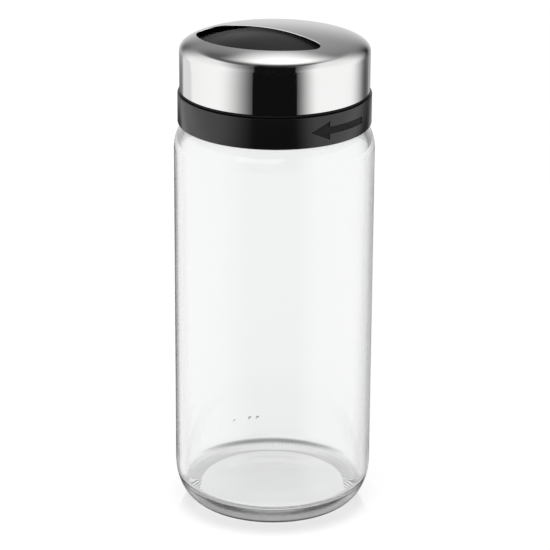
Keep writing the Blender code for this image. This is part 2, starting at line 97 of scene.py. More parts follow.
class Value:
    """A shader socket that takes part in Python arithmetic."""

    def __init__(self, graph: "Graph", socket: NodeSocket) -> None:
        """Keeps the socket and the graph that it belongs to."""
        self.graph = graph
        self.socket = socket

    def __add__(self, other: Number) -> "Value":
        """Sum."""
        return self.graph.math("ADD", self, other)

    def __sub__(self, other: Number) -> "Value":
        """Difference."""
        return self.graph.math("SUBTRACT", self, other)

    def __rsub__(self, other: float) -> "Value":
        """A number less this value."""
        return self.graph.math("SUBTRACT", other, self)

    def __mul__(self, other: Number) -> "Value":
        """Product."""
        return self.graph.math("MULTIPLY", self, other)

    def __truediv__(self, other: Number) -> "Value":
        """Quotient."""
        return self.graph.math("DIVIDE", self, other)

    __radd__ = __add__
    __rmul__ = __mul__

    def size(self) -> "Value":
        """The value without its sign."""
        return self.graph.math("ABSOLUTE", self)

    def rise(self, low: float, high: float) -> "Value":
        """A smooth step from 0 where the value is low to 1 where it is high.

        Args:
            low: Where the step is 0.
            high: Where the step is 1.

        Returns:
            The step, between 0 and 1.
        """
        sockets = {"Value": self, "From Min": low, "From Max": high}
        ranged = self.graph.node("ShaderNodeMapRange", {"interpolation_type": "SMOOTHSTEP"}, sockets)
        return Value(self.graph, ranged.outputs["Result"])

    def over(self, limit: float) -> "Value":
        """1 where the value is over the limit, and 0 elsewhere."""
        return self.graph.math("GREATER_THAN", self, limit)

    def at_least(self, limit: Number) -> "Value":
        """The larger of this value and another."""
        return self.graph.math("MAXIMUM", self, limit)


class Graph:
    """Builds one node tree from expressions."""

    def __init__(self, tree: NodeTree) -> None:
        """Empties the tree."""
        self.tree = tree
        tree.nodes.clear()

    def node(self, kind: str, settings: dict | None = None, sockets: dict | None = None) -> Node:
        """Adds a node.

        Args:
            kind: The node's type.
            settings: Its settings, which are set first.
            sockets: The values or links of its sockets, by name or number.

        Returns:
            The node.
        """
        made = self.tree.nodes.new(kind)
        for name, setting in (settings or {}).items():
            setattr(made, name, setting)
        for name, given in (sockets or {}).items():
            given = given.socket if isinstance(given, Value) else given
            if isinstance(given, NodeSocket):
                self.tree.links.new(given, made.inputs[name])
            else:
                made.inputs[name].default_value = given
        return made

    def math(self, operation: str, *values: Number) -> Value:
        """Adds one Math node and returns its result."""
        made = self.node("ShaderNodeMath", {"operation": operation}, dict(enumerate(values)))
        return Value(self, made.outputs[0])

    def place(self) -> tuple[Value, Value, Value]:
        """X, Y and Z of the shaded point in the object's own coordinates."""
        return self.split(self.node("ShaderNodeTexCoord").outputs["Object"])

    def split(self, vector: NodeSocket) -> tuple[Value, Value, Value]:
        """X, Y and Z of a vector."""
        parts = self.node("ShaderNodeSeparateXYZ", sockets={"Vector": vector})
        return tuple(Value(self, parts.outputs[axis]) for axis in "XYZ")

    def reach(self, across: Value, along: Value) -> Value:
        """How far away a point is that lies so far across and so far along."""
        return self.math("SQRT", across * across + along * along)

    def rays(self, *kinds: str) -> list[Value]:
        """For each kind of ray, 1 where it is of that kind and 0 elsewhere."""
        path = self.node("ShaderNodeLightPath")
        return [Value(self, path.outputs[f"Is {kind} Ray"]) for kind in kinds]

    def noise(self, size: float, detail: float = 3.0, stretch: Sequence[float] = (1, 1, 1)) -> Value:
        """Noise on object coordinates.

        Args:
            size: The size of its features, in metres.
            detail: How many finer octaves it has.
            stretch: How much longer its features are along X, Y and Z.

        Returns:
            The noise, about 0.5 on average.
        """
        coordinates = self.node("ShaderNodeTexCoord").outputs["Object"]
        scale = [1 / (size * longer) for longer in stretch]
        scaled = self.node("ShaderNodeMapping", sockets={"Vector": coordinates, "Scale": scale})
        sockets = {"Vector": scaled.outputs["Vector"], "Scale": 1.0, "Detail": detail}
        return Value(self, self.node("ShaderNodeTexNoise", sockets=sockets).outputs["Fac"])

    def facing(self) -> Value:
        """0 where the surface faces the viewer, rising to 1 where it is seen edge on."""
        made = self.node("ShaderNodeLayerWeight", sockets={"Blend": 0.5})
        return Value(self, made.outputs["Facing"])

    def speckle(self, size: float) -> Value:
        """Rounded cells on object coordinates, 0 at their middles."""
        sockets = {"Vector": self.node("ShaderNodeTexCoord").outputs["Object"], "Scale": 1 / size}
        return Value(self, self.node("ShaderNodeTexVoronoi", sockets=sockets).outputs["Distance"])

    def bump(self, height: Value, depth: float = 1.0) -> NodeSocket:
        """A normal from a height, of which 1 stands for the depth in metres."""
        sockets = {"Height": height, "Distance": depth, "Strength": 1.0}
        return self.node("ShaderNodeBump", sockets=sockets).outputs["Normal"]

    def blend(self, share: Number, first: Sequence[float], second: Sequence[float]) -> NodeSocket:
        """A colour between two colours."""
        sockets = {"Factor": share, "A": (*first, 1.0), "B": (*second, 1.0)}
        return self.node("ShaderNodeMix", {"data_type": "RGBA"}, sockets).outputs["Result"]

    def surface(self, **sockets: object) -> None:
        """Adds the Principled shader that covers a piece, and its output.

        Args:
            **sockets: The shader's values or links, by their names in small letters.
        """
        words = {name.replace("_", " ").title(): given for name, given in sockets.items()}
        words = {"IOR" if name == "Ior" else name: given for name, given in words.items()}
        shader = self.node("ShaderNodeBsdfPrincipled", sockets=words)
        self.node("ShaderNodeOutputMaterial", sockets={"Surface": shader.outputs["BSDF"]})


def material_graph(name: str) -> tuple[Material, Graph]:
    """A new material and the graph of its nodes.

    Args:
        name: The material's name.

    Returns:
        The material and its graph.
    """
    material = bpy.data.materials.new(name)
    material.use_nodes = True
    return material, Graph(material.node_tree)


# Finishes


@dataclass(frozen=True)
class ClearGlass:
    """Flint glass: faintly wavy, with painted shade where it is seen edge on, stippled by the mould under its
    heel.

    A pair of heights or radii says where a smooth step is 0 and where it is 1. Each dot is an X, a height and
    how far it is sunk.
    """

    tint: Colour = (0.945, 0.95, 0.948)
    # the colour that the painted shade darkens towards
    dark: Colour = (0.0, 0.0, 0.0)
    # painted shade: how far the colour darkens where the outer wall is seen edge on
    painted_edge_shade: float = 0.54
    edge_seen: Point = (0.55, 0.92)
    outside: Point = (0.031164, 0.0318)
    inside_over: Point = (0.0062, 0.00558)
    # painted shade: how far the colour darkens along the foot's lowest edge, seen at a grazing angle
    painted_foot_shade: float = 0.9
    foot_seen: Point = (0.35, 0.6)
    foot_heights: Point = (0.0030, 0.0018)
    index: float = 1.5
    roughness: float = 0.03
    frost: float = 0.5
    frost_heights: Point = (0.0076, 0.003)
    frost_ends: Point = (0.0250, 0.0290)
    wave: float = 0.016
    wave_stretch: Triple = (1.0, 1.0, 3.5)
    wave_depth: float = 0.00002
    rib_count: float = 150.0
    rib_depth: float = 0.00008
    rib_heights: Point = (0.003, 0.0012)
    rib_ends: Point = (0.0243, 0.024786)
    dot_radii: Point = (0.0008, 0.00024)
    dots: tuple[Triple, ...] = (
        (-0.0202, 0.0129, 0.0001),
        (-0.0142, 0.0137, 0.0002),
        (-0.0086, 0.0139, 0.0003),
        (-0.0057, 0.0138, 0.0003),
    )

    def height(self, graph: Graph, x: Value, y: Value, z: Value) -> Value:
        """The height of the glass's waves, its mould dots at the back and the ribs of its foot.

        Args:
            graph: The material's graph.
            x: The shaded point's X.
            y: Its Y.
            z: Its Z.

        Returns:
            The height, in metres.
        """
        dots = 0.0
        for across, up, sunk in self.dots:
            dots = graph.reach(x - across, z - up).rise(*self.dot_radii) * -sunk + dots
        ribs = graph.math("SINE", graph.math("ARCTAN2", y, x) * self.rib_count)
        ribs = ribs * z.rise(*self.rib_heights) * graph.reach(x, y).rise(*self.rib_ends)
        waves = graph.noise(self.wave, 1.0, self.wave_stretch)
        return waves * self.wave_depth + dots * y.over(0.0) + ribs * self.rib_depth

    def make(self) -> Material:
        """Builds the material.

        Returns:
            The material.
        """
        material, graph = material_graph("flint_glass")
        x, y, z = graph.place()
        facing = graph.facing()
        # Painted shade: the colour darkens towards black where the outer wall is seen edge on and along the
        # foot's lowest edge
        foot = facing.rise(*self.foot_seen) * z.rise(*self.foot_heights)
        out = graph.reach(x, y)
        outside = out.rise(*self.outside).at_least(z.rise(*self.inside_over))
        shade = facing.rise(*self.edge_seen) * outside * self.painted_edge_shade + foot * self.painted_foot_shade
        frosted = z.rise(*self.frost_heights) * out.rise(*self.frost_ends)
        graph.surface(
            base_color=graph.blend(shade, self.tint, self.dark),
            roughness=frosted * self.frost + self.roughness,
            ior=self.index,
            transmission_weight=1.0,
            normal=graph.bump(self.height(graph, x, y, z)),
        )
        return material


@dataclass(frozen=True)
class PolishedSteel:
    """Drawn stainless steel, polished to a mirror, with the last traces of the buffing wheel."""

    colour: Colour = (0.79, 0.79, 0.785)
    clouded: float = 0.96
    cloud: float = 0.009
    cloud_ends: Point = (0.35, 0.75)
    roughness: float = 0.035
    haze: float = 0.03
    lines_per_metre: float = 9000.0
    line_depth: float = 0.0000002

    def make(self) -> Material:
        """Builds the material.

        Returns:
            The material.
        """
        material, graph = material_graph("polished_steel")
        x, y, z = graph.place()
        cloud = graph.noise(self.cloud, 4.0)
        across, up = graph.reach(x, y) * self.lines_per_metre, z * self.lines_per_metre
        turned = graph.node("ShaderNodeCombineXYZ", sockets={"X": across, "Y": up, "Z": 0.0})
        sockets = {"Vector": turned.outputs["Vector"], "Scale": 1.0, "Detail": 2.0}
        lines = graph.node("ShaderNodeTexNoise", {"noise_dimensions": "2D"}, sockets)
        graph.surface(
            base_color=graph.blend(cloud, self.colour, [c * self.clouded for c in self.colour]),
            metallic=1.0,
            roughness=cloud.rise(*self.cloud_ends) * self.haze + self.roughness,
            normal=graph.bump(Value(graph, lines.outputs["Fac"]), self.line_depth),
        )
        return material


@dataclass(frozen=True)
class GlossPlastic:
    """Moulded black plastic: glossy outside, spark-eroded on the floor of its arrow."""

    outer: float
    arrow_depth: float
    arrow_middle: float
    arrow_reach: float
    arrow_soft: float = 1.05
    sunk_shares: Point = (0.3, 0.7)
    colour: Colour = (0.0075, 0.0075, 0.008)
    floor_colour: Colour = (0.016, 0.016, 0.0163)
    roughness: float = 0.16
    eroded: float = 0.9
    index: float = 1.52
    crumb: float = 0.00042
    crumb_share: float = 0.7
    grain: float = 0.0003
    grain_share: float = 0.6
    grain_height: float = 1.6
    peel: float = 0.0042
    peel_height: float = 0.018
    smudge: float = 0.011
    smudge_ends: Point = (0.4, 0.75)
    smudge_haze: float = 0.05
    depth: float = 0.00016

    def make(self) -> Material:
        """Builds the material.

        Returns:
            The material.
        """
        material, graph = material_graph("gloss_black_plastic")
        x, y, z = graph.place()
        sunk = graph.reach(x, y).rise(*(self.outer - self.arrow_depth * share for share in self.sunk_shares))
        beside = (z - self.arrow_middle).size()
        floor = sunk * beside.rise(self.arrow_reach * self.arrow_soft, self.arrow_reach)
        grain = graph.speckle(self.crumb) * self.crumb_share + graph.noise(self.grain, 3.0) * self.grain_share
        smudge = graph.noise(self.smudge, 4.0).rise(*self.smudge_ends)
        height = graph.noise(self.peel, 2.0) * self.peel_height + grain * floor * self.grain_height
        rougher = floor * (self.eroded - self.roughness)
        graph.surface(
            base_color=graph.blend(floor, self.colour, self.floor_colour),
            roughness=rougher + self.roughness + smudge * self.smudge_haze,
            ior=self.index,
            normal=graph.bump(height, self.depth),
        )
        return material


@dataclass(frozen=True)
class SatinPlastic:
    """Black plastic with a fine satin grain."""

    name: str
    colour: Colour = (0.009, 0.009, 0.0095)
    clouded: float = 1.25
    cloud: float = 0.007
    roughness: float = 0.38
    uneven: float = 0.08
    index: float = 1.2
    sheen: float = 0.6
    sheen_roughness: float = 0.2
    grain: float = 0.00022
    depth: float = 0.000012

    def make(self) -> Material:
        """Builds the material.

        Returns:
            The material.
        """
        material, graph = material_graph(self.name)
        grain = graph.noise(self.grain, 3.0)
        cloud = graph.noise(self.cloud, 3.0)
        graph.surface(
            base_color=graph.blend(cloud, self.colour, [c * self.clouded for c in self.colour]),
            roughness=cloud * self.uneven + grain * self.uneven + (self.roughness - self.uneven),
            ior=self.index,
            sheen_weight=self.sheen,
            sheen_roughness=self.sheen_roughness,
            normal=graph.bump(grain, self.depth),
        )
        return material


@dataclass(frozen=True)
class Silicone:
    """Soft moulded rubber with a dull, slightly dusty skin."""

    name: str
    colour: Colour
    dust: Colour
    roughness: float = 0.55
    glow: float = 0.0
    glow_depth: float = 0.001
    cloud: float = 0.003
    cloud_ends: Point = (0.35, 0.8)
    uneven: float = 0.15
    skin: float = 0.0004
    depth: float = 0.00001

    def make(self) -> Material:
        """Builds the material.

        Returns:
            The material.
        """
        material, graph = material_graph(self.name)
        cloud = graph.noise(self.cloud, 4.0)
        skin = graph.noise(self.skin, 2.0)
        graph.surface(
            base_color=graph.blend(cloud.rise(*self.cloud_ends), self.colour, self.dust),
            roughness=cloud * self.uneven + (self.roughness - self.uneven / 3),
            subsurface_weight=self.glow,
            subsurface_scale=self.glow_depth,
            normal=graph.bump(skin, self.depth),
        )
        return material


# Modelling tools


class Section:
    """A turned piece's section in the XZ plane, drawn from one point with bmesh operators."""

    def __init__(self, radius: float, height: float) -> None:
        """Starts the section at a point.

        Args:
            radius: The point's radius.
            height: Its height.
        """
        self.bm = bmesh.new()
        self.first = self.tip = self.bm.verts.new((radius, 0, height))
        self.rounded: list[tuple[BMVert, float]] = []

    def line(self, radius: float, height: float, rounding: float = 0.0) -> "Section":
        """Draws a straight run.

        Args:
            radius: The radius that it goes to.
            height: The height that it goes to.
            rounding: How far back the corner there is rounded, or 0.

        Returns:
            The section.
        """
        self.tip = bmesh.ops.extrude_vert_indiv(self.bm, verts=[self.tip])["verts"][0]
        self.tip.co = (radius, 0, height)
        if rounding:
            self.rounded.append((self.tip, rounding))
        return self

    def run(self, radius: float, height: float, step: float) -> "Section":
        """Draws a straight run in equal steps of about the given length.

        Args:
            radius: The radius that it goes to.
            height: The height that it goes to.
            step: About how long each step is.

        Returns:
            The section.
        """
        start = self.tip.co.copy()
        end = Vector((radius, 0, height))
        count = max(1, round((end - start).length / step))
        for index in range(count):
            at = start.lerp(end, (index + 1) / count)
            self.line(at.x, at.z)
        return self

    def arc(self, centre: Point, degrees: float, steps: int, tall: float = 1.0) -> "Section":
        """Turns the tip about a centre, anticlockwise with the radius to the right.

        Args:
            centre: Radius and height of the centre.
            degrees: How far to turn, measured on a circle.
            steps: How many runs the arc has.
            tall: How much taller than wide the arc's ellipse is.

        Returns:
            The section.
        """
        middle = Vector((centre[0], 0, centre[1]))
        self.tip.co.z = middle.z + (self.tip.co.z - middle.z) / tall
        old = set(self.bm.verts) - {self.tip}
        angle = math.radians(degrees)
        turn = bmesh.ops.spin(
            self.bm, geom=[self.tip], cent=middle, axis=(0, -1, 0), angle=angle, steps=steps
        )
        new = [vert for vert in self.bm.verts if vert not in old]
        bmesh.ops.scale(self.bm, vec=(1, 1, tall), space=Matrix.Translation(-middle), verts=new)
        self.tip = next(item for item in turn["geom_last"] if isinstance(item, BMVert))
        return self

    def curve(self, bend: Point, other_bend: Point, end: Point, steps: int) -> "Section":
        """Draws a Bezier curve from the tip through its two bends to the end.

        Args:
            bend: Radius and height of the first bend.
            other_bend: Radius and height of the second bend.
            end: Where the curve ends.
            steps: How many runs the curve has.

        Returns:
            The section.
        """
        corners = [self.tip.co, *(Vector((r, 0, z)) for r, z in (bend, other_bend, end))]
        for at in interpolate_bezier(*corners, steps + 1)[1:]:
            self.line(at.x, at.z)
        return self

    def turn(self, segments: int, closed: bool = True) -> BMesh:
        """Rounds the marked corners and spins the section about the axis.

        Args:
            segments: Facets round the piece.
            closed: Whether the section runs back to its start.

        Returns:
            The turned mesh, with its faces pointing out.
        """
        if closed and self.tip is not self.first:
            self.bm.edges.new((self.tip, self.first))
        for vert, rounding in self.rounded:
            looks = {"segments": ROUND_STEPS, "profile": 0.5, "affect": "VERTICES", "material": -1}
            bmesh.ops.bevel(self.bm, geom=[vert], offset=rounding, **looks)
        geom = [*self.bm.verts, *self.bm.edges]
        bmesh.ops.spin(
            self.bm, geom=geom, cent=ORIGIN, axis=UP, angle=math.tau, steps=segments, use_merge=True
        )
        bmesh.ops.remove_doubles(self.bm, verts=self.bm.verts, dist=WELD)
        bmesh.ops.recalc_face_normals(self.bm, faces=self.bm.faces)
        return self.bm


def swept_box(low: Point, high: Point, start_deg: float, sweep_deg: float, steps: int) -> BMesh:
    """A block that follows the jar's curve.

    Args:
        low: Its inner radius and its bottom.
        high: Its outer radius and its top.
        start_deg: Where it starts.
        sweep_deg: How far it runs.
        steps: How many steps the run has.

    Returns:
        The block, with its faces pointing out.
    """
    bm = bmesh.new()
    corners = ((low[0], low[1]), (high[0], low[1]), (high[0], high[1]), (low[0], high[1]))
    face = bm.faces.new([bm.verts.new((radius, 0, height)) for radius, height in corners])
    turned = Matrix.Rotation(math.radians(start_deg), 3, "Z")
    bmesh.ops.rotate(bm, cent=ORIGIN, matrix=turned, verts=bm.verts)
    geom, angle = [face, *face.edges, *face.verts], math.radians(sweep_deg)
    bmesh.ops.spin(bm, geom=geom, cent=ORIGIN, axis=UP, angle=angle, steps=steps)
    bmesh.ops.recalc_face_normals(bm, faces=bm.faces)
    return bm


def add_object(name: str, data: ID) -> Object:
    """Adds an object with the given data to the scene.

    Args:
        name: The object's name.
        data: Its mesh, curve, camera or lamp.

    Returns:
        The object.
    """
    obj = bpy.data.objects.new(name, data)
    bpy.context.scene.collection.objects.link(obj)
    return obj


def to_object(name: str, bm: BMesh) -> Object:
    """Puts a finished bmesh in an object of the scene.

    Args:
        name: The object's name.
        bm: The bmesh, which is freed.

    Returns:
        The object.
    """
    mesh = bpy.data.meshes.new(name)
    bm.to_mesh(mesh)
    bm.free()
    return add_object(name, mesh)


def final_mesh(obj: Object) -> Mesh:
    """A new mesh of what an object looks like with its modifiers."""
    bpy.context.view_layer.update()
    return bpy.data.meshes.new_from_object(obj.evaluated_get(bpy.context.evaluated_depsgraph_get()))


def cut(piece: Object, tools: Sequence[BMesh], operation: str = "DIFFERENCE") -> None:
    """Cuts the tools out of a piece, or joins them to it, and leaves nothing of them behind.

    Args:
        piece: The object to cut.
        tools: The tools, which are freed.
        operation: DIFFERENCE to cut them out, or UNION to join them.
    """
    cutters = [to_object(f"{piece.name}_tool", tool) for tool in tools]
    for cutter in cutters:
        modifier = piece.modifiers.new(cutter.name, "BOOLEAN")
        modifier.operation = operation
        modifier.solver = "EXACT"
        modifier.object = cutter
    mesh = final_mesh(piece)
    piece.modifiers.clear()
    piece.data = mesh
    for cutter in cutters:
        bpy.data.objects.remove(cutter)


def in_order(bm: BMesh) -> list[Vector]:
    """Places of the points of one closed run of edges, in the order that they follow each other.

    Args:
        bm: The run of edges.

    Returns:
        The places.
    """
    first = vert = next(iter(bm.verts))
    edge, places = None, []
    while not places or vert is not first:
        places.append(vert.co.copy())
        edge = next(near for near in vert.link_edges if near is not edge)
        vert = edge.other_vert(vert)
    return places


def add_curve(piece: Object, curve: Object) -> None:
    """Adds the round bead along a closed curve to a piece, and leaves nothing of the curve behind.

    Args:
        piece: The object that gets the bead.
        curve: The curve, with its bevel.
    """
    bead = final_mesh(curve)
    bm = bmesh.new()
    bm.from_mesh(bead)
    bmesh.ops.remove_doubles(bm, verts=bm.verts, dist=WELD)
    bmesh.ops.recalc_face_normals(bm, faces=bm.faces)
    bm.from_mesh(piece.data)
    bm.to_mesh(piece.data)
    bm.free()
    bpy.data.meshes.remove(bead)
    bpy.data.objects.remove(curve)


def finish_piece(
    piece: Object, material: Material, body: Body, node: str
) -> None:
    """Shades a piece, gives it its material and ties it to the frame.

    Args:
        piece: The finished object.
        material: Its material.
        body: The body that it rides on.
        node: The node that it stands for.
    """
    mesh = piece.data
    mesh.materials.clear()
    mesh.materials.append(material)
    mesh.shade_smooth()
    mesh.set_sharp_from_angle(angle=math.radians(SHARP_DEG))
    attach(piece, body.value)
    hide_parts(node)
    LOG.info("%s: %d faces on %s", piece.name, len(mesh.polygons), body.value)


def outer_radius(node: str) -> float:
    """The widest radius of a node that turns about the axis."""
    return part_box(node)[1].x


# Pieces


@dataclass
class Thread:
    """The quick thread between the glass and the collar. Base and crest are a ridge's two widths."""

    starts: int = 4
    pitch: float = 0.0042
    depth: float = 0.0012
    base: float = 0.0019
    crest: float = 0.0009
    sweep_deg: float = 100.0
    drop: float = 0.0065
    gap: float = 0.00035
    fade_share: float = 0.14

    def nut_drop(self) -> float:
        """How far below a glass ridge the collar's ridge lies."""
        flank = (self.base - self.crest) / 2 / self.depth
        return self.base - (self.depth + self.gap) * flank + self.gap

    def height(self, angle: float, height: float, middle: float) -> float:
        """How far the ridges stand out of their wall at a point.

        Args:
            angle: The point's angle about the axis, in radians.
            height: The point's height.
            middle: Height of the ridges' middles.

        Returns:
            The ridge's height there, in metres.
        """
        climb = self.starts * self.pitch * self.sweep_deg / 360
        most = 0.0
        for start in range(self.starts):
            turn = (math.degrees(angle) - 360 * start / self.starts) % 360
            along = turn / self.sweep_deg
            if along > 1:
                continue
            away = abs(height - (middle + climb * (along - 0.5)))
            flank = (self.base / 2 - away) / ((self.base - self.crest) / 2)
            fade = min(1.0, along / self.fade_share, (1 - along) / self.fade_share)
            most = max(most, min(max(flank, 0.0), 1.0) * min(max(fade, 0.0), 1.0))
        return self.depth * most * most * (3 - 2 * most)

    def raise_on(self, bm: BMesh, wall: float, middle: float, outwards: int) -> None:
        """Moves the points of a wall out or in where a ridge crosses them.

        Args:
            bm: The mesh with the wall.
            wall: The wall's radius.
            middle: Height of the ridges' middles.
            outwards: 1 for ridges that stand outwards, or -1 for inwards.
        """
        for vert in bm.verts:
            radius = math.hypot(vert.co.x, vert.co.y)
            if abs(radius - wall) > WELD * 10 or abs(vert.co.z - middle) > self.drop:
                continue
            ridge = self.height(math.atan2(vert.co.y, vert.co.x), vert.co.z, middle)
            scale = (radius + outwards * ridge) / radius
            vert.co.x *= scale
            vert.co.y *= scale


@dataclass
class GlassJar:
    """The jar: a hollow body on a foot ring, a rounded shoulder and a threaded neck."""

    thread: Thread
    radius: float = field(default_factory=lambda: outer_radius("glass_jar"))
    rim: float = field(default_factory=lambda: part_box("glass_jar")[1].z)
    segments: int = 192
    wall: float = 0.0028
    floor: float = 0.0060
    foot_radius: float = 0.0246
    foot_width: float = 0.0024
    heel: float = 0.0134
    punt: float = 0.0006
    punt_bends: tuple[float, float] = (0.8, 0.6)
    inner_heel: float = 0.0034
    shoulder: float = 0.0111
    neck_radius: float = 0.0250
    neck_height: float = 0.0135
    neck_fillet: float = 0.0012
    rim_round: float = 0.0008
    row: float = 0.0003
    rim_row: float = 0.002
    floor_row: float = 0.003
    wall_rows: Point = (0.012, 0.006)
    fillet_steps: int = 6
    heel_steps: tuple[int, int] = (24, 36)
    shoulder_steps: tuple[int, int] = (20, 28)
    punt_steps: int = 40

    @property
    def mouth(self) -> float:
        """The mouth's radius."""
        return self.neck_radius - self.wall

    @property
    def wall_top(self) -> float:
        """Where the wall starts to turn in."""
        return self.rim - self.neck_height - self.shoulder

    def shoulder_height(self, radius: float) -> float:
        """Height of the shoulder's outer curve at a radius."""
        across = (radius - self.neck_radius) / (self.radius - self.neck_radius)
        return self.wall_top + self.shoulder * math.sqrt(1 - min(max(across, 0.0), 1.0) ** 2)

    def section(self) -> Section:
        """The jar's section, from the middle of its floor inside round to the middle underneath.

        Returns:
            The open section.
        """
        inner = self.radius - self.wall
        bottom = self.punt + self.floor
        spread = self.radius - self.neck_radius
        steep = math.degrees(math.acos(self.neck_fillet / spread))
        fillet = self.fillet_steps
        drawn = Section(0, bottom)
        drawn.run(inner - self.inner_heel, bottom, self.floor_row)
        drawn.arc((inner - self.inner_heel, bottom + self.inner_heel), 90, self.heel_steps[0])
        drawn.run(inner, self.wall_top, self.wall_rows[0])
        rise = self.shoulder - self.wall
        drawn.arc((self.mouth, self.wall_top), steep, self.shoulder_steps[0], rise / spread)
        foot = drawn.tip.co.z
        drawn.arc((self.mouth + self.neck_fillet, foot + self.neck_fillet), -90, fillet)
        drawn.run(self.mouth, self.rim - self.rim_round, self.rim_row)
        drawn.arc((self.mouth + self.rim_round, self.rim - self.rim_round), -90, fillet)
        drawn.line(self.neck_radius - self.rim_round, self.rim)
        drawn.arc((self.neck_radius - self.rim_round, self.rim - self.rim_round), -90, fillet)
        outer_foot = self.shoulder_height(self.neck_radius + self.neck_fillet)
        drawn.run(self.neck_radius, outer_foot + self.neck_fillet, self.row)
        drawn.arc((self.neck_radius + self.neck_fillet, outer_foot + self.neck_fillet), 90, fillet)
        tall = self.shoulder / spread
        drawn.arc((self.neck_radius, self.wall_top), -steep, self.shoulder_steps[1], tall)
        drawn.run(self.radius, self.heel, self.wall_rows[1])
        tall = self.heel / (self.radius - self.foot_radius)
        drawn.arc((self.foot_radius, self.heel), -90, self.heel_steps[1], tall)
        ring = self.foot_radius - self.foot_width
        outer_bend, inner_bend = (ring * share for share in self.punt_bends)
        drawn.line(ring, 0)
        return drawn.curve((outer_bend, 0), (inner_bend, self.punt), (0, self.punt), self.punt_steps)

    def build(self) -> None:
        """Builds the jar and dresses it."""
        bm = self.section().turn(self.segments, closed=False)
        self.thread.raise_on(bm, self.neck_radius, self.rim - self.thread.drop, 1)
        jar = to_object("clear_jar", bm)
        finish_piece(jar, ClearGlass().make(), Body.JAR, "glass_jar")


@dataclass
class RimSeal:
    """The soft ring between the glass rim and the collar."""

    jar: GlassJar
    chamfer: float = 0.0002
    segments: int = 128

    def build(self) -> None:
        """Builds the seal and dresses it."""
        low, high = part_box("rim_seal")
        inner = self.jar.mouth + GAP
        drawn = Section(inner, (low.z + high.z) / 2)
        for radius, height in ((inner, high.z), (high.x, high.z), (high.x, low.z), (inner, low.z)):
            drawn.line(radius, height, self.chamfer)
        seal = to_object("soft_rim_seal", drawn.turn(self.segments))
        finish = Silicone("grey_silicone", (0.50, 0.50, 0.49), (0.62, 0.62, 0.61), roughness=0.5, glow=0.25)
        finish_piece(seal, finish.make(), Body.SEAL, "rim_seal")


